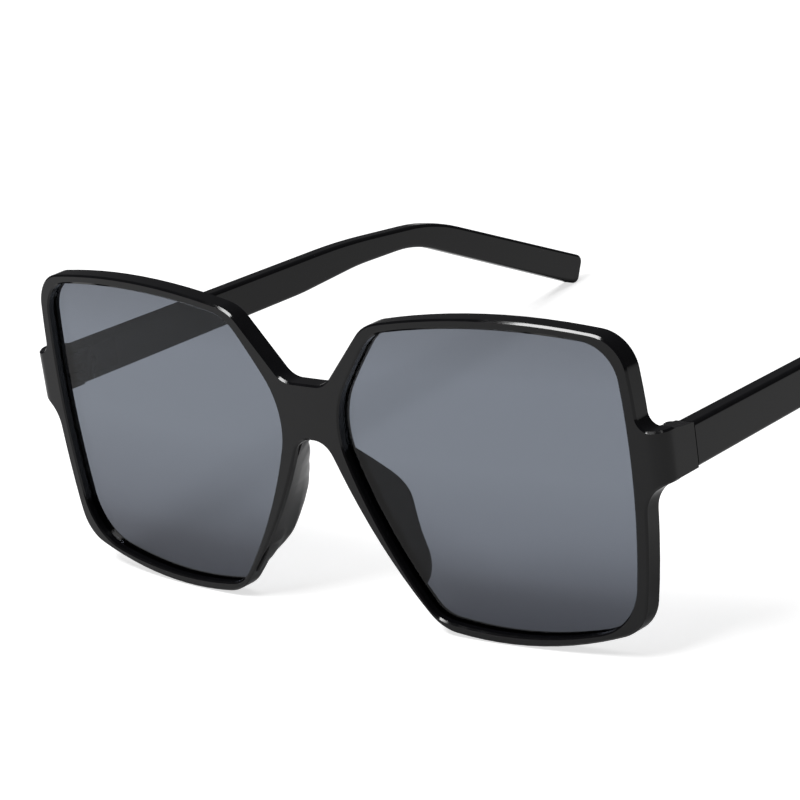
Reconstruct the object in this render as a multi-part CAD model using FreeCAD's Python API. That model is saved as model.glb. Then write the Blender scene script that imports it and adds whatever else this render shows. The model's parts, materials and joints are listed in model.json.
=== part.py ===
import FreeCAD, Part
import math
import os

Vector = FreeCAD.Vector
origin = Vector(0, 0, 0)
across = Vector(1, 0, 0)
back = Vector(0, 1, 0)
up = Vector(0, 0, 1)

# Stance, in millimetres and degrees: the pair stands open on its rims and temple tips
temple_span = 150.0        # over the outer faces of the temples, at the hinges
hinge_height = 35.8        # middle of the hinges above the floor
hinge_setback = 16.0       # hinge seam behind the foremost line of the front
front_wrap_radius = 590.0  # curve of the front, seen from above
front_lean = 3.5           # the top of the front leans back by this angle
temple_toe_in = 1.7        # the temples run closer together towards the tips

# Front moulding
rim_depth = 3.7
front_edge_bevel = 0.35
opening_edge_bevel = 0.3
back_edge_bevel = 0.3
bridge_top = 43.9
bridge_top_half_width = 5.0
bridge_corner_radius = 5.0
bridge_underside = 33.4
nose_arch_half_width = 3.4
nose_arch_radius = 4.6
nose_side_bulge = 1.8

# End pieces, which turn back from the rims to the temples
end_piece_reach = 4.25     # from the outer side of a rim to the outer face of its temple
end_piece_above_hinge = 5.0
end_piece_shoulder = 8.0   # where its top starts to drop to the temple, before the seam
end_piece_corner = 3.4     # round turn from the front to the outer face
end_piece_upper_blend = 2.5
end_piece_lower_blend = 6.0
end_piece_arm = 4.4        # plain length before the seam, on the inner side
end_piece_gusset = 5.0

# Rim corners on one side: across, up, bulge of the side that follows, corner radius
rim_half_span = temple_span / 2 - end_piece_reach
rim_lower_nose = (24.2, 1.1, 3.0, 9.0)
rim_lower_outer = (rim_half_span - 3.35, 5.9, 0.6, 7.8)
rim_upper_outer = (rim_half_span - 1.25, 57.05, 2.5, 7.1)
rim_upper_nose = (15.9, 56.05, 0.0, 8.3)
rim_upper_side_bulge = 0.2

# Corners of one lens opening, in the same way
opening_lower_nose = (23.6, 2.9, 2.6, 6.7)
opening_lower_outer = (rim_lower_outer[0] - 2.1, 6.3, 2.0, 11.1)
opening_upper_outer = (rim_upper_outer[0] - 2.1, 55.7, 2.1, 7.2)
opening_upper_nose = (17.5, 54.6, 0.4, 8.6)
opening_nose_side = (5.7, 37.9, 2.1, 15.4)

# Moulded nose pads: a fin along the nose side of each rim
pad_thickness = 1.8
pad_flare = 6.0
pad_edge_bevel = 0.5
pad_root_depth = 1.2
pad_start = -2.0
pad_end = 33.0
pad_upper_crest = (11.5, 11.8, 0.0, 8.0)  # along the rim, behind its face, bulge, corner radius
pad_lower_crest = (27.0, 7.4, 0.0, 10.0)

# Lenses and the groove that they snap into
lens_thickness = 1.4
lens_setback = 1.5
groove_depth = 0.6
groove_clearance = 0.05

# Temples
temple_height = 7.9
temple_thickness = 3.6
temple_edge_round = 0.8
temple_tip_height = 6.4
temple_tip_corner = 1.6
seam_gap = 0.2

# Temple corners in side view: along from the hinge, up, bulge, corner radius
temple_upper_taper = (74.0, 3.05, 0.0, 150.0)
temple_upper_bend = (100.8, 0.25, 0.0, 48.0)
temple_heel = (143.6, -26.4, 0.0, temple_tip_corner)
temple_lower_bend = (94.7, -3.3, 0.0, 28.0)
temple_neck = (77.0, -2.75, 0.0, 60.0)
temple_lower_taper = (60.0, -3.85, 0.0, 60.0)

# Hinges: two leaves, three barrels and a screw
barrel_radius = 1.2
barrel_stand_off = 1.35    # screw axis inside the inner faces
middle_barrel_height = 1.8
barrel_side_clearance = 0.05
leaf_height = 5.4
leaf_thickness = 1.0
leaf_web_length = 3.6
leaf_end_gap = 0.3
front_leaf_length = 6.0
temple_leaf_length = 9.0
pocket_clearance = 0.05
screw_radius = 0.55
screw_running_clearance = 0.05
screw_thread_clearance = 0.02
screw_head_radius = 1.05
screw_head_height = 0.6
screw_slot_width = 0.3
screw_slot_depth = 0.3

# Room for cutting shapes to run past the piece that they cut
overrun = 5.0


# Front view corner as a place in the plane of the front
def front_point(corner):
    return Vector(corner[0], 0, corner[1])


# Copy on the other side of the nose
def mirrored(shape):
    return shape.mirror(origin, across)


# Middle of an edge, by its own measure
def middle_of(edge):
    return edge.valueAt((edge.FirstParameter + edge.LastParameter) / 2)


# Direction of an edge at its middle
def direction_of(edge):
    return edge.tangentAt((edge.FirstParameter + edge.LastParameter) / 2)


# Straight or bulged side between two corners, bulging away from the piece
def bulged_side(start, end, bulge):
    if bulge == 0:
        return Part.makeLine(start, end)
    outward = back.cross(end - start).normalize() * bulge
    return Part.Arc(start, (start + end) * 0.5 + outward, end).toShape()


# Closed face in the plane of the front, with bulged sides and rounded corners
def rounded_face(corners):
    following = corners[1:] + corners[:1]
    sides = []
    for corner, neighbour in zip(corners, following):
        sides.append(bulged_side(front_point(corner), front_point(neighbour), corner[2]))
    plane = Part.Plane(origin, back)
    rounds = []
    for index, corner in enumerate(corners):
        if corner[3] > 0:
            fillet = Part.ChFi2d.FilletAlgo(sides[index - 1], sides[index], plane)
            fillet.perform(corner[3])
            arc, sides[index - 1], sides[index] = fillet.result(front_point(corner))
            rounds.append(arc)
    return Part.Face(Part.Wire(Part.__sortEdges__(sides + rounds)))


# Prism of a face in the plane of the front, from before the front to behind the hinges
def front_prism(face):
    prism = face.extrude(back * (hinge_setback + 2 * overrun))
    prism.translate(back * -overrun)
    return prism


# Everything behind a depth under the wrapped face of the front
def behind_face(depth):
    foot = Vector(0, front_wrap_radius, -2 * overrun)
    tall = rim_upper_outer[1] + 4 * overrun
    return Part.makeCylinder(front_wrap_radius - depth, tall, foot, up)


# Face of one lens opening, on the +X side
def opening_face():
    return rounded_face([opening_lower_nose, opening_lower_outer, opening_upper_outer,
                         opening_upper_nose, opening_nose_side])


# Copy of a face whose sides are all arcs that bulge outwards, larger all round by a margin
def widened(face, margin):
    arcs = []
    for edge in face.Edges:
        centre = edge.Curve.Center
        places = [edge.valueAt(edge.FirstParameter), middle_of(edge), edge.valueAt(edge.LastParameter)]
        arcs.append(Part.Arc(*[place + (place - centre).normalize() * margin for place in places]).toShape())
    return Part.Face(Part.Wire(Part.__sortEdges__(arcs)))


# Lens on the +X side, or with a clearance the groove that it sits in
def lens_solid(clearance):
    prism = front_prism(widened(opening_face(), groove_depth + clearance))
    near = behind_face(lens_setback - clearance)
    far = behind_face(lens_setback + lens_thickness + clearance)
    return prism.common(near).cut(far)


# Whole outline of the front: rims, bridge, nose arch and end pieces
def outline_prism():
    reach = temple_span / 2 + overrun
    low = to_front(Part.Vertex(0, 0, -temple_height / 2)).Point.z
    high = to_front(Part.Vertex(0, -end_piece_shoulder, end_piece_above_hinge)).Point.z
    bridge_base = (0, bridge_underside, 0.0, 0.0)
    run = [
        (nose_arch_half_width, bridge_underside, nose_side_bulge, nose_arch_radius),
        rim_lower_nose,
        rim_lower_outer,
        (rim_half_span, low, 0.0, end_piece_lower_blend),
        (reach, low, 0.0, 0.0),
        (reach, high, 0.0, 0.0),
        (rim_half_span, high, rim_upper_side_bulge, end_piece_upper_blend),
        rim_upper_outer,
        rim_upper_nose,
        (bridge_top_half_width, bridge_top, 0.0, bridge_corner_radius),
    ]
    far_run = []
    for corner, before in zip(run, [bridge_base] + run):
        far_run.insert(0, (-corner[0], corner[1], before[2], corner[3]))
    return front_prism(rounded_face(run + far_run))


# Nose pad on the +X side: a lobe that follows the rim's nose side and flares away from the nose
def nose_pad():
    top = Vector(nose_arch_half_width, 0, bridge_underside)
    bottom = front_point(rim_lower_nose)
    along = (bottom - top).normalize()
    sideways = along.cross(back)
    flare = math.radians(pad_flare)
    deep = back * math.cos(flare) + sideways * math.sin(flare)
    through = deep.cross(along)
    lobe = rounded_face([(pad_start, pad_root_depth, 0.0, 0.0), pad_upper_crest, pad_lower_crest,
                         (pad_end, pad_root_depth, 0.0, 0.0)])
    columns = zip(along, through, deep, top)
    rows = [value for row in columns for value in row]
    lobe.Placement = FreeCAD.Placement(FreeCAD.Matrix(*rows, 0, 0, 0, 1))
    lobe.translate(through * -overrun)
    slab = lobe.extrude(through * (2 * overrun))
    nose_side = bulged_side(top, bottom, nose_side_bulge).Curve
    foot = nose_side.Center - deep * ((nose_side.Center - top).dot(deep) + overrun)
    tall = pad_upper_crest[1] + 2 * overrun
    pad = slab.common(Part.makeCylinder(nose_side.Radius, tall, foot, deep))
    pad = pad.cut(Part.makeCylinder(nose_side.Radius - pad_thickness, tall, foot, deep))
    crest = []
    for edge in pad.Edges:
        if abs(direction_of(edge).dot(through)) < 0.9 and (middle_of(edge) - top).dot(deep) > rim_depth:
            crest.append(edge)
    return pad.makeChamfer(pad_edge_bevel, crest)


# Height that lifts the leaning front on to the floor, found along the rim's back lower edge
def ground_lift():
    lower_side = bulged_side(front_point(rim_lower_nose), front_point(rim_lower_outer), rim_lower_nose[2])
    angle = math.radians(front_lean)
    lowest = 0.0
    for place in lower_side.discretize(60):
        depth = front_wrap_radius - math.sqrt((front_wrap_radius - rim_depth) ** 2 - place.x ** 2)
        edge_height = place.z * math.cos(angle) - (depth - back_edge_bevel) * math.sin(angle)
        lowest = min(lowest, edge_height)
    return -lowest


# Direction of the temple's lower tip edge, and across it, in side view
def tip_directions():
    run = (front_point(temple_heel) - front_point(temple_lower_bend)).normalize()
    return run, run.cross(back)


# Angle of the temples that sets their tips on the floor
def temple_pitch():
    run, rise = tip_directions()
    centre = front_point(temple_heel) + (rise - run) * temple_tip_corner
    reach = math.hypot(centre.x, centre.z)
    slope = math.atan2(centre.z, centre.x)
    return math.degrees(slope + math.asin((hinge_height - temple_tip_corner) / reach))


# Carry a shape from the +X hinge's own frame, along the temple, to where it stands
def at_hinge(shape):
    shape.rotate(origin, across, -temple_pitch())
    shape.rotate(origin, up, temple_toe_in)
    shape.translate(Vector(temple_span / 2, hinge_setback, hinge_height))
    return shape


# Carry a shape from the +X hinge's own frame to the frame of the upright front
def to_front(shape):
    shape = at_hinge(shape)
    shape.translate(up * -ground_lift())
    shape.rotate(origin, across, front_lean)
    return shape


# Carry a shape from the frame of the upright front to where it stands
def at_front(shape):
    shape.rotate(origin, across, -front_lean)
    shape.translate(up * ground_lift())
    return shape


# Closed corners in the hinge's frame, pushed through a width
def pushed(points, push):
    return Part.Face(Part.makePolygon(points + points[:1])).extrude(push)


# Room of the end piece behind the rim, from its side view and its plan, in the hinge's frame
def end_piece_room():
    front = -hinge_setback
    shoulder = -end_piece_shoulder
    inner = -temple_thickness
    arm = -end_piece_arm
    half = temple_height / 2
    low = -half - overrun
    side_view = [Vector(0, 0, -half), Vector(0, 0, half), Vector(0, shoulder, end_piece_above_hinge),
                 Vector(0, front, end_piece_above_hinge + overrun), Vector(0, front, low),
                 Vector(0, shoulder, -half)]
    side_room = pushed(side_view, across * (inner - 2 * end_piece_gusset))
    sweep = end_piece_gusset * (1 - math.sqrt(0.5))
    gusset_end = Vector(inner - end_piece_gusset, arm - end_piece_gusset, 0)
    gusset_middle = Vector(inner - sweep, arm - end_piece_gusset + sweep, 0)
    gusset_start = Vector(inner, arm, 0)
    seam_inner = Vector(inner, 0, 0)
    front_outer = Vector(0, front, 0)
    front_inner = Vector(gusset_end.x, front, 0)
    plan = [Part.makeLine(origin, front_outer), Part.makeLine(front_outer, front_inner),
            Part.makeLine(front_inner, gusset_end),
            Part.Arc(gusset_end, gusset_middle, gusset_start).toShape(),
            Part.makeLine(gusset_start, seam_inner), Part.makeLine(seam_inner, origin)]
    plan_room = Part.Face(Part.Wire(plan)).extrude(up * (end_piece_above_hinge + overrun - low))
    plan_room.translate(up * low)
    return side_room.common(plan_room)


# Space outside the +X end piece in the frame of the upright front, with the round turn at its front
def outside_end_piece():
    place = to_front(Part.Vertex(0, 0, 0)).Point
    inward = place - to_front(Part.Vertex(1, 0, 0)).Point
    inward.z = 0
    forward = up.cross(inward)
    wrap_centre = Vector(0, front_wrap_radius, place.z)
    reach = front_wrap_radius - end_piece_corner
    beside = (wrap_centre - place).dot(inward) - end_piece_corner
    ahead = math.sqrt(reach ** 2 - beside ** 2) + (wrap_centre - place).dot(forward)
    turn = place + inward * end_piece_corner + forward * ahead
    outer_end = turn - inward * end_piece_corner
    front_end = wrap_centre + (turn - wrap_centre) * (front_wrap_radius / reach)
    middle = turn + (outer_end + front_end - turn * 2).normalize() * end_piece_corner
    outside = inward * (-2 * overrun)
    behind = place - forward * overrun
    before = front_end + forward * overrun
    sides = Part.makePolygon([outer_end, behind, behind + outside, before + outside, before, front_end])
    plan = Part.Wire(sides.Edges + [Part.Arc(front_end, middle, outer_end).toShape()])
    room = Part.Face(plan).extrude(up * (6 * overrun))
    room.translate(up * (-3 * overrun))
    return room


# Edges of the upright front at a depth under its face
def rim_edges(front, depth):
    radius = front_wrap_radius - depth
    found = []
    for edge in front.Edges:
        places = [edge.valueAt(edge.FirstParameter), middle_of(edge), edge.valueAt(edge.LastParameter)]
        if all(abs(math.hypot(p.x, p.y - front_wrap_radius) - radius) < 1e-3 for p in places):
            found.append(edge)
    return found


# Outer border of the front at a depth, or the borders of its openings
def border(front, depth, openings, inside):
    found = []
    for edge in rim_edges(front, depth):
        middle = middle_of(edge)
        at_turn = abs(middle.x) > rim_half_span and abs(direction_of(edge).z) > 0.9
        near = openings.distToShape(Part.Vertex(middle))[0] < 1e-4
        if near == inside and not at_turn:
            found.append(edge)
    return found


# Front moulding: rims, bridge, end pieces and nose pads, with grooves and hinge pockets
def front_frame():
    opening = front_prism(opening_face())
    openings = Part.makeCompound([opening, mirrored(opening)])
    outline = outline_prism().common(behind_face(0))
    outside = outside_end_piece()
    outline = outline.cut(outside).cut(mirrored(outside))
    end_piece = outline.common(to_front(end_piece_room())).cut(opening)
    rims = outline.cut(behind_face(rim_depth)).cut(openings)
    rims = rims.makeChamfer(back_edge_bevel, border(rims, rim_depth, openings, False))
    front = rims.fuse([end_piece, mirrored(end_piece)]).removeSplitter()
    front = front.makeChamfer(front_edge_bevel, border(front, 0, openings, False))
    front = front.makeChamfer(opening_edge_bevel, border(front, 0, openings, True))
    pad = nose_pad().cut(opening.cut(behind_face(lens_setback + lens_thickness)))
    front = front.fuse([pad, mirrored(pad)])
    groove = lens_solid(groove_clearance)
    pocket = to_front(leaf_pocket(-1, front_leaf_length))
    for cutter in (groove, pocket):
        front = front.cut(cutter).cut(mirrored(cutter))
    return at_front(front.removeSplitter())


# Temple on the +X side, in the hinge's frame
def temple():
    half = temple_height / 2
    run, rise = tip_directions()
    tip = front_point(temple_heel) + rise * temple_tip_height
    side_view = rounded_face([(seam_gap, -half, 0.0, 0.0), temple_lower_taper, temple_neck, temple_lower_bend,
                              temple_heel, (tip.x, tip.z, 0.0, temple_tip_corner), temple_upper_bend,
                              temple_upper_taper, (seam_gap, half, 0.0, 0.0)])
    side_view.rotate(origin, up, 90)
    blade = side_view.extrude(across * -temple_thickness)
    borders = [edge for edge in blade.Edges
               if abs(direction_of(edge).x) < 0.5 and middle_of(edge).y > 2 * seam_gap]
    blade = blade.makeFillet(temple_edge_round, borders)
    return blade.cut(leaf_pocket(1, temple_leaf_length))


# Low and high end of the middle barrel
def middle_band():
    return -middle_barrel_height / 2, middle_barrel_height / 2


# Low and high ends of the upper and the lower barrel
def outer_bands():
    near = middle_barrel_height / 2 + barrel_side_clearance
    far = leaf_height / 2
    return (near, far), (-far, -near)


# Upright cylinder on the screw's axis
def on_screw_axis(radius, low, high):
    foot = Vector(-temple_thickness - barrel_stand_off, 0, low)
    return Part.makeCylinder(radius, high - low, foot, up)


# Plate of a leaf, flush with the inner face; travel is -1 to the front and 1 to the temple
def leaf_plate(travel, length):
    start = leaf_end_gap if travel > 0 else -length
    box = Part.makeBox(leaf_thickness, length - leaf_end_gap, leaf_height)
    box.translate(Vector(-temple_thickness, start, -leaf_height / 2))
    return box


# Pocket that a leaf's plate sits in, open to the inner face and to the seam
def leaf_pocket(travel, length):
    run = length + pocket_clearance
    tall = leaf_height + 2 * pocket_clearance
    box = Part.makeBox(leaf_thickness + overrun, run, tall)
    box.translate(Vector(-temple_thickness - overrun, 0 if travel > 0 else -run, -tall / 2))
    return box


# Web from a leaf's plate to one barrel
def leaf_web(travel, low, high):
    inner = -temple_thickness
    axis = inner - barrel_stand_off
    sunk = inner + leaf_thickness / 2
    slant = barrel_radius * math.sqrt(0.5)
    corners = [Vector(sunk, travel * leaf_end_gap, low), Vector(sunk, travel * leaf_web_length, low),
               Vector(inner, travel * leaf_web_length, low), Vector(axis - slant, travel * slant, low),
               Vector(axis, 0, low)]
    return pushed(corners, up * (high - low))


# Hinge half in the end piece, with two barrels; the lower one holds the screw's thread
def hinge_front_leaf():
    upper, lower = outer_bands()
    leaf = leaf_plate(-1, front_leaf_length)
    for band in (upper, lower):
        leaf = leaf.fuse([leaf_web(-1, *band), on_screw_axis(barrel_radius, *band)])
    leaf = leaf.cut(on_screw_axis(screw_radius + screw_running_clearance, *upper))
    leaf = leaf.cut(on_screw_axis(screw_radius + screw_thread_clearance, *lower))
    return leaf.removeSplitter()


# Hinge half in the temple, with one barrel that turns on the screw
def hinge_temple_leaf():
    band = middle_band()
    leaf = leaf_plate(1, temple_leaf_length)
    leaf = leaf.fuse([leaf_web(1, *band), on_screw_axis(barrel_radius, *band)])
    return leaf.cut(on_screw_axis(screw_radius + screw_running_clearance, *band)).removeSplitter()


# Screw with a slotted head that bears on the upper barrel
def hinge_screw():
    top = leaf_height / 2
    head_top = top + screw_head_height
    shank = on_screw_axis(screw_radius, -top, top)
    head = on_screw_axis(screw_head_radius, top, head_top)
    slot = Part.makeBox(2 * screw_head_radius, screw_slot_width, screw_slot_depth)
    axis = -temple_thickness - barrel_stand_off
    slot.translate(Vector(axis - screw_head_radius, -screw_slot_width / 2, head_top - screw_slot_depth))
    return shank.fuse(head).cut(slot).removeSplitter()


# Build all pieces where they stand; left is the wearer's left, at +X
pieces = {"front_frame": front_frame()}
left_pieces = {
    "lens": at_front(lens_solid(0)),
    "temple": at_hinge(temple()),
    "hinge_front_leaf": at_hinge(hinge_front_leaf()),
    "hinge_temple_leaf": at_hinge(hinge_temple_leaf()),
    "hinge_screw": at_hinge(hinge_screw()),
}
for name, shape in left_pieces.items():
    pieces[name + "_left"] = shape
    pieces[name + "_right"] = mirrored(shape)

# Set the origin on the floor, midway between the front and the tips
whole = Part.makeCompound(list(pieces.values())).optimalBoundingBox(False, False)
centring = back * (-(whole.YMin + whole.YMax) / 2)
os.makedirs("parts", exist_ok=True)
for name, shape in pieces.items():
    shape.translate(centring)
    shape.exportStep("parts/" + name + ".step")
    print(name, shape.isValid(), len(shape.Solids), round(shape.Volume, 1))
axis_foot = at_hinge(Part.Vertex(-temple_thickness - barrel_stand_off, 0, 0)).Point + centring
axis_head = at_hinge(Part.Vertex(-temple_thickness - barrel_stand_off, 0, 1)).Point + centring
print("hinge axis through", axis_foot, "along", axis_head - axis_foot, "pitch", temple_pitch())
print("box", whole, "moved back by", centring.y)
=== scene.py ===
import json
import math

import bmesh
import bpy
from mathutils import Matrix, Vector

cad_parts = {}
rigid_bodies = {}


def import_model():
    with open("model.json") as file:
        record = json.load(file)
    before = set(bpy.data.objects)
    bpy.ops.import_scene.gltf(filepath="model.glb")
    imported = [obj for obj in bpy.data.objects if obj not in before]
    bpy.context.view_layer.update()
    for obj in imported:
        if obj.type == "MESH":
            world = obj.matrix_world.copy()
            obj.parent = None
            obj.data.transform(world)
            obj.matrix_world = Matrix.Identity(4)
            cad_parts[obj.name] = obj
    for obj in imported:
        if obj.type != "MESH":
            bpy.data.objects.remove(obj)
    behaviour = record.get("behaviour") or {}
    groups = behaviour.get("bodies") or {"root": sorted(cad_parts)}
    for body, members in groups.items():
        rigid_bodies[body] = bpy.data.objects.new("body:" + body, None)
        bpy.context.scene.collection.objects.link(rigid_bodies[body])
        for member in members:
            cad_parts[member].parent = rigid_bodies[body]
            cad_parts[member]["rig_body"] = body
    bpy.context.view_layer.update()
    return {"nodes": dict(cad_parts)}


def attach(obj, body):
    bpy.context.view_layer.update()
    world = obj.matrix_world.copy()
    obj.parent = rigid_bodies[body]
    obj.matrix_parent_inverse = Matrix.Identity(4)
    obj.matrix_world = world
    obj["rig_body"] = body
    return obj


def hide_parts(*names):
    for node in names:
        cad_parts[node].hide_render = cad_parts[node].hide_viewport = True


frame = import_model()
print("loaded", len(frame["nodes"]), "nodes")


# camera: where it stands, what it looks at, and how far it is rolled
cameraSet = {
    "place": (0.4202, -0.483094, 0.24964),
    "target": (0.021566, -0.076202, 0.0429),
    "rollDegrees": -10.93,
    "lens": 158.80,
    "sensor": 36.0,
    "clip": (0.02, 20.0),
}


def makeCamera(settings):
    data = bpy.data.cameras.new("photoCamera")
    data.lens = settings["lens"]
    data.sensor_width = settings["sensor"]
    data.clip_start, data.clip_end = settings["clip"]
    camera = bpy.data.objects.new("photoCamera", data)
    bpy.context.scene.collection.objects.link(camera)
    place = Vector(settings["place"])
    behind = (place - Vector(settings["target"])).normalized()
    level = Vector((0, 0, 1)).cross(behind).normalized()
    upright = behind.cross(level)
    roll = math.radians(settings["rollDegrees"])
    right = level * math.cos(roll) + upright * math.sin(roll)
    top = upright * math.cos(roll) - level * math.sin(roll)
    turn = Matrix((right, top, behind)).transposed()
    camera.matrix_world = Matrix.Translation(place) @ turn.to_4x4()
    bpy.context.scene.camera = camera
    print("camera stands at", settings["place"])


def newMaterial(name):
    material = bpy.data.materials.new(name)
    material.use_nodes = True
    tree = material.node_tree
    tree.nodes.clear()
    output = tree.nodes.new("ShaderNodeOutputMaterial")
    return material, tree, output


# a node with the values of its sockets, by name, and the operation of a math node
def addNode(tree, kind, sockets=None, operation=None):
    node = tree.nodes.new(kind)
    if operation:
        node.operation = operation
    for name, value in (sockets or {}).items():
        node.inputs[name].default_value = value
    return node


# a ramp through colours, each with its place between 0 and 1
def addRamp(tree, factor, stops):
    ramp = tree.nodes.new("ShaderNodeValToRGB")
    ramp.color_ramp.elements.remove(ramp.color_ramp.elements[1])
    for count, (place, colour) in enumerate(stops):
        stop = ramp.color_ramp.elements.new(place) if count else ramp.color_ramp.elements[0]
        stop.position = place
        stop.color = colour
    tree.links.new(factor, ramp.inputs["Fac"])
    return ramp.outputs["Color"]


# carries a value from one span of numbers over to another
def addRange(tree, value, fromSpan, toSpan, blend="SMOOTHSTEP"):
    node = tree.nodes.new("ShaderNodeMapRange")
    node.interpolation_type = blend
    for name, number in zip(("From Min", "From Max", "To Min", "To Max"), (*fromSpan, *toSpan)):
        node.inputs[name].default_value = number
    tree.links.new(value, node.inputs["Value"])
    return node.outputs["Result"]


# noise that stays with the piece
def addNoise(tree, scale, detail):
    place = tree.nodes.new("ShaderNodeTexCoord")
    noise = addNode(tree, "ShaderNodeTexNoise", {"Scale": scale, "Detail": detail})
    tree.links.new(place.outputs["Object"], noise.inputs["Vector"])
    return noise.outputs["Fac"]


# a glossy shader with its colour and roughness varied by a noise
def addMottledShader(tree, output, noise, settings):
    sockets = {"IOR": settings["ior"], "Specular IOR Level": settings["gloss"]}
    shader = addNode(tree, "ShaderNodeBsdfPrincipled", sockets)
    colour = addRamp(tree, noise, ((0.0, settings["colourLow"]), (1.0, settings["colourHigh"])))
    rough = addRange(tree, noise, settings["noiseSpan"], (settings["roughLow"], settings["roughHigh"]))
    tree.links.new(colour, shader.inputs["Base Color"])
    tree.links.new(rough, shader.inputs["Roughness"])
    tree.links.new(shader.outputs[0], output.inputs["Surface"])
    return shader


# studio: a wide pale floor with a glow that grows from near to far, a dim room, and soft boxes given as
# place, target, sides in metres and watts
studioSet = {
    "floorRadius": 6.0,
    "floorSides": 96,
    "floorColour": (0.60, 0.60, 0.60, 1.0),
    "floorGlow": (0.70, 1.0),
    "glowReach": (0.4, 1.8),
    "roomColour": (0.06, 0.06, 0.062, 1.0),
    "softBoxes": {
        "overhead": ((-0.1, 0.1, 1.3), (0.0, 0.0, 0.03), (1.2, 1.2), 7.4),
        "keyFront": ((-0.25, -0.52, 1.02), (0.0, -0.05, 0.03), (0.64, 0.22), 8.7),
    },
}


def makeFloor(settings):
    mesh = bpy.data.meshes.new("studioFloor")
    shape = bmesh.new()
    bmesh.ops.create_circle(shape, cap_ends=True, segments=settings["floorSides"],
                            radius=settings["floorRadius"])
    shape.to_mesh(mesh)
    shape.free()
    floor = bpy.data.objects.new("studioFloor", mesh)
    bpy.context.scene.collection.objects.link(floor)
    material, tree, output = newMaterial("studioFloor")
    diffuse = addNode(tree, "ShaderNodeBsdfDiffuse", {"Color": settings["floorColour"]})
    glow = tree.nodes.new("ShaderNodeEmission")
    # the glow shows to the camera, and through the lenses
    path = tree.nodes.new("ShaderNodeLightPath")
    seen = addNode(tree, "ShaderNodeMath", operation="MAXIMUM")
    tree.links.new(path.outputs["Is Camera Ray"], seen.inputs[0])
    tree.links.new(path.outputs["Is Transmission Ray"], seen.inputs[1])
    # it rises to white far from the object, where the lamps no longer reach
    place = tree.nodes.new("ShaderNodeTexCoord")
    distance = addNode(tree, "ShaderNodeVectorMath", operation="LENGTH")
    tree.links.new(place.outputs["Object"], distance.inputs[0])
    rise = addRange(tree, distance.outputs["Value"], settings["glowReach"], settings["floorGlow"])
    level = addNode(tree, "ShaderNodeMath", operation="MULTIPLY")
    tree.links.new(seen.outputs[0], level.inputs[0])
    tree.links.new(rise, level.inputs[1])
    tree.links.new(level.outputs[0], glow.inputs["Strength"])
    both = tree.nodes.new("ShaderNodeAddShader")
    tree.links.new(diffuse.outputs[0], both.inputs[0])
    tree.links.new(glow.outputs[0], both.inputs[1])
    tree.links.new(both.outputs[0], output.inputs["Surface"])
    mesh.materials.append(material)


def makeStudio(settings):
    makeFloor(settings)
    world = bpy.data.worlds.new("studioRoom")
    world.use_nodes = True
    world.node_tree.nodes["Background"].inputs["Color"].default_value = settings["roomColour"]
    bpy.context.scene.world = world
    for name, (place, target, sides, watts) in settings["softBoxes"].items():
        data = bpy.data.lights.new(name, "AREA")
        data.shape = "RECTANGLE"
        data.size, data.size_y = sides
        data.energy = watts
        lamp = bpy.data.objects.new(name, data)
        bpy.context.scene.collection.objects.link(lamp)
        lamp.location = place
        lamp.rotation_euler = (Vector(target) - Vector(place)).to_track_quat("-Z", "Y").to_euler()
    bpy.context.scene.view_settings.view_transform = "Standard"
    print("studio has", len(settings["softBoxes"]), "soft boxes")


# polished black moulding, faintly mottled and rippled
frameSet = {
    "colourLow": (0.002, 0.002, 0.0025, 1.0),
    "colourHigh": (0.005, 0.005, 0.006, 1.0),
    "ior": 1.5,
    "gloss": 0.42,
    "roughLow": 0.08,
    "roughHigh": 0.12,
    "noiseSpan": (0.3, 0.7),
    "mottleScale": 420.0,
    "mottleDetail": 4.0,
    "rippleScale": 160.0,
    "rippleDetail": 1.0,
    "rippleStrength": 0.02,
    "rippleDepth": 0.00004,
    "sharpDegrees": 30.0,
}


def makeFrameMaterial(settings):
    material, tree, output = newMaterial("frameBlack")
    mottle = addNoise(tree, settings["mottleScale"], settings["mottleDetail"])
    ripple = addNoise(tree, settings["rippleScale"], settings["rippleDetail"])
    sockets = {"Strength": settings["rippleStrength"], "Distance": settings["rippleDepth"]}
    bump = addNode(tree, "ShaderNodeBump", sockets)
    shader = addMottledShader(tree, output, mottle, settings)
    tree.links.new(ripple, bump.inputs["Height"])
    tree.links.new(bump.outputs["Normal"], shader.inputs["Normal"])
    return material


# tinted lenses: a grey tint with painted shade, darker towards the bottom where it stands in for the
# floor's shadow seen through the lens and a little darker at the top, from the lower to the upper of two
# heights
lensSet = {
    "tintsAndPaintedShade": (
        (0.0, (0.056, 0.061, 0.075, 1.0)),
        (0.08, (0.070, 0.076, 0.092, 1.0)),
        (0.16, (0.101, 0.111, 0.133, 1.0)),
        (0.25, (0.117, 0.129, 0.154, 1.0)),
        (0.5, (0.145, 0.161, 0.190, 1.0)),
        (0.8, (0.147, 0.163, 0.193, 1.0)),
        (1.0, (0.122, 0.134, 0.157, 1.0)),
    ),
    "heights": (0.004, 0.058),
    "rough": 0.0,
    "ior": 1.35,
    "sharpDegrees": 40.0,
}


def makeLensMaterial(settings):
    material, tree, output = newMaterial("lensGrey")
    place = tree.nodes.new("ShaderNodeTexCoord")
    split = tree.nodes.new("ShaderNodeSeparateXYZ")
    tree.links.new(place.outputs["Object"], split.inputs[0])
    height = addRange(tree, split.outputs["Z"], settings["heights"], (0.0, 1.0), "LINEAR")
    # the ramp by height paints shade into the grey tint: darker towards the bottom and a little darker
    # near the top
    colour = addRamp(tree, height, settings["tintsAndPaintedShade"])
    sockets = {"IOR": settings["ior"], "Roughness": settings["rough"], "Transmission Weight": 1.0}
    shader = addNode(tree, "ShaderNodeBsdfPrincipled", sockets)
    tree.links.new(colour, shader.inputs["Base Color"])
    tree.links.new(shader.outputs[0], output.inputs["Surface"])
    return material


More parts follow.
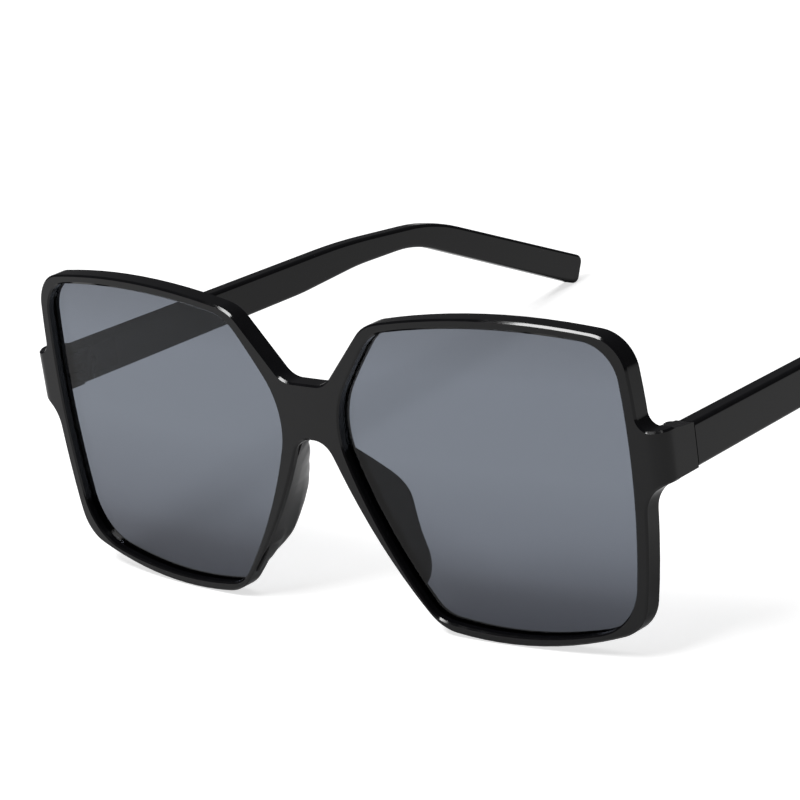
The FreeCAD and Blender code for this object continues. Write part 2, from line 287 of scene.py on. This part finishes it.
# black-coated hinge steel
steelSet = {
    "colourLow": (0.012, 0.012, 0.013, 1.0),
    "colourHigh": (0.030, 0.030, 0.032, 1.0),
    "ior": 1.5,
    "gloss": 0.3,
    "roughLow": 0.28,
    "roughHigh": 0.42,
    "noiseSpan": (0.3, 0.7),
    "grainScale": 900.0,
    "grainDetail": 5.0,
    "sharpDegrees": 30.0,
}


def makeSteelMaterial(settings):
    material, tree, output = newMaterial("hingeSteel")
    grain = addNoise(tree, settings["grainScale"], settings["grainDetail"])
    addMottledShader(tree, output, grain, settings)
    return material


# meshes: how near to each other points are welded, and how short an edge is dropped
meshSet = {
    "weld": 1e-6,
    "shortEdge": 1e-7,
}

# nose pads: how the front's face lies, how deep the rim, the pads' roots and the pads go behind it, where
# the pads are, and the depths at which they are cut into rows; the profile gives, by height, how far the
# pads move off the nose, how far their back edge flares besides, and the scale of their depth
padSet = {
    "leanDegrees": 3.5,
    "faceRadius": 0.590,
    "rimDepth": 0.0037,
    "slack": 0.0001,
    "rootDepth": 0.002,
    "fullDepth": 0.0088,
    "reach": (0.022, 0.036),
    "rows": (0.0040, 0.0050, 0.0060, 0.0070, 0.0078),
    "flarePower": 1.5,
    "profile": (
        (0.008, 0.0005, -0.0004, 1.3),
        (0.011, 0.0005, -0.0004, 1.15),
        (0.014, 0.0005, 0.0, 1.0),
        (0.022, 0.0005, 0.0013, 0.86),
        (0.026, 0.0005, 0.0015, 0.82),
        (0.030, 0.0004, 0.0008, 0.97),
        (0.033, 0.0003, 0.0006, 1.1),
    ),
}


# a row of the profile at a height, worked out between the two rows around it
def readProfile(profile, height):
    below = profile[0]
    for row in profile:
        if row[0] >= height:
            share = (height - below[0]) / (row[0] - below[0]) if row[0] > below[0] else 0.0
            return [low + share * (high - low) for low, high in zip(below[1:], row[1:])]
        below = row
    return below[1:]


# runs the pads out of the rim's nose side, flush with it and bowed, and gives back their points
def settlePads(shape, settings):
    lean = math.tan(math.radians(settings["leanDegrees"]))
    widest, highest = settings["reach"]

    def depthOf(vertex):
        return vertex.co.y - lean * vertex.co.z - vertex.co.x ** 2 / (2 * settings["faceRadius"])

    faceDepth = min(depthOf(vertex) for vertex in shape.verts)
    padStart = settings["rimDepth"] + settings["slack"]

    def findPads():
        return {vertex for vertex in shape.verts if abs(vertex.co.x) < widest and vertex.co.z < highest
                and depthOf(vertex) - faceDepth > padStart}

    for row in settings["rows"]:
        parts = {part for vertex in findPads() for part in vertex.link_faces}
        edges = {edge for part in parts for edge in part.edges}
        points = {vertex for part in parts for vertex in part.verts}
        bmesh.ops.bisect_plane(shape, geom=[*points, *edges, *parts], dist=meshSet["weld"],
                               plane_co=(0.0, faceDepth + row, 0.0), plane_no=(0.0, 1.0, -lean))
    pads = findPads()
    roots = {other for vertex in pads for part in vertex.link_faces for other in part.verts
             if depthOf(other) - faceDepth < settings["rootDepth"]}
    for vertex in pads | roots:
        shift, flare, scale = readProfile(settings["profile"], vertex.co.z)
        behindFace = depthOf(vertex) - faceDepth
        behindRim = max(behindFace - settings["rimDepth"], 0.0)
        aside = shift + flare * (behindFace / settings["fullDepth"]) ** settings["flarePower"]
        vertex.co.x += math.copysign(aside, vertex.co.x)
        vertex.co.y += (scale - 1.0) * behindRim
    print("settled", len(pads), "pad points and", len(roots), "at the root")
    return pads


# a welded, smooth-shaded copy of a CAD node, in which only the front's nose pads change their shape
def polishNode(nodeName, material, sharpDegrees):
    source = frame["nodes"][nodeName]
    mesh = bpy.data.meshes.new(nodeName + "_polished")
    corners = [vertex.co for vertex in source.data.vertices]
    mesh.from_pydata(corners, [], [list(face.vertices) for face in source.data.polygons])
    shape = bmesh.new()
    shape.from_mesh(mesh)
    bmesh.ops.remove_doubles(shape, verts=shape.verts, dist=meshSet["weld"])
    bmesh.ops.dissolve_degenerate(shape, edges=shape.edges, dist=meshSet["shortEdge"])
    pads = set()
    if nodeName == "front_frame":
        pads = settlePads(shape, padSet)
        shape.normal_update()
    for face in shape.faces:
        face.smooth = True
    # creases stay sharp, except within a pad
    for edge in shape.edges:
        crease = math.degrees(edge.calc_face_angle(0.0)) > sharpDegrees
        edge.smooth = not crease or pads.issuperset(edge.verts)
    shape.to_mesh(mesh)
    shape.free()
    mesh.materials.append(material)
    piece = bpy.data.objects.new(nodeName + "_polished", mesh)
    bpy.context.scene.collection.objects.link(piece)
    weigh = piece.modifiers.new("evenShading", "WEIGHTED_NORMAL")
    weigh.keep_sharp = True
    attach(piece, source["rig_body"])
    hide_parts(nodeName)


makeCamera(cameraSet)
makeStudio(studioSet)
frameBlack = makeFrameMaterial(frameSet)
lensGrey = makeLensMaterial(lensSet)
hingeSteel = makeSteelMaterial(steelSet)
print("made the materials")
for nodeName in sorted(frame["nodes"]):
    if nodeName.startswith("hinge"):
        polishNode(nodeName, hingeSteel, steelSet["sharpDegrees"])
    elif nodeName.startswith("lens"):
        polishNode(nodeName, lensGrey, lensSet["sharpDegrees"])
    else:
        polishNode(nodeName, frameBlack, frameSet["sharpDegrees"])
print("polished", len(frame["nodes"]), "pieces")
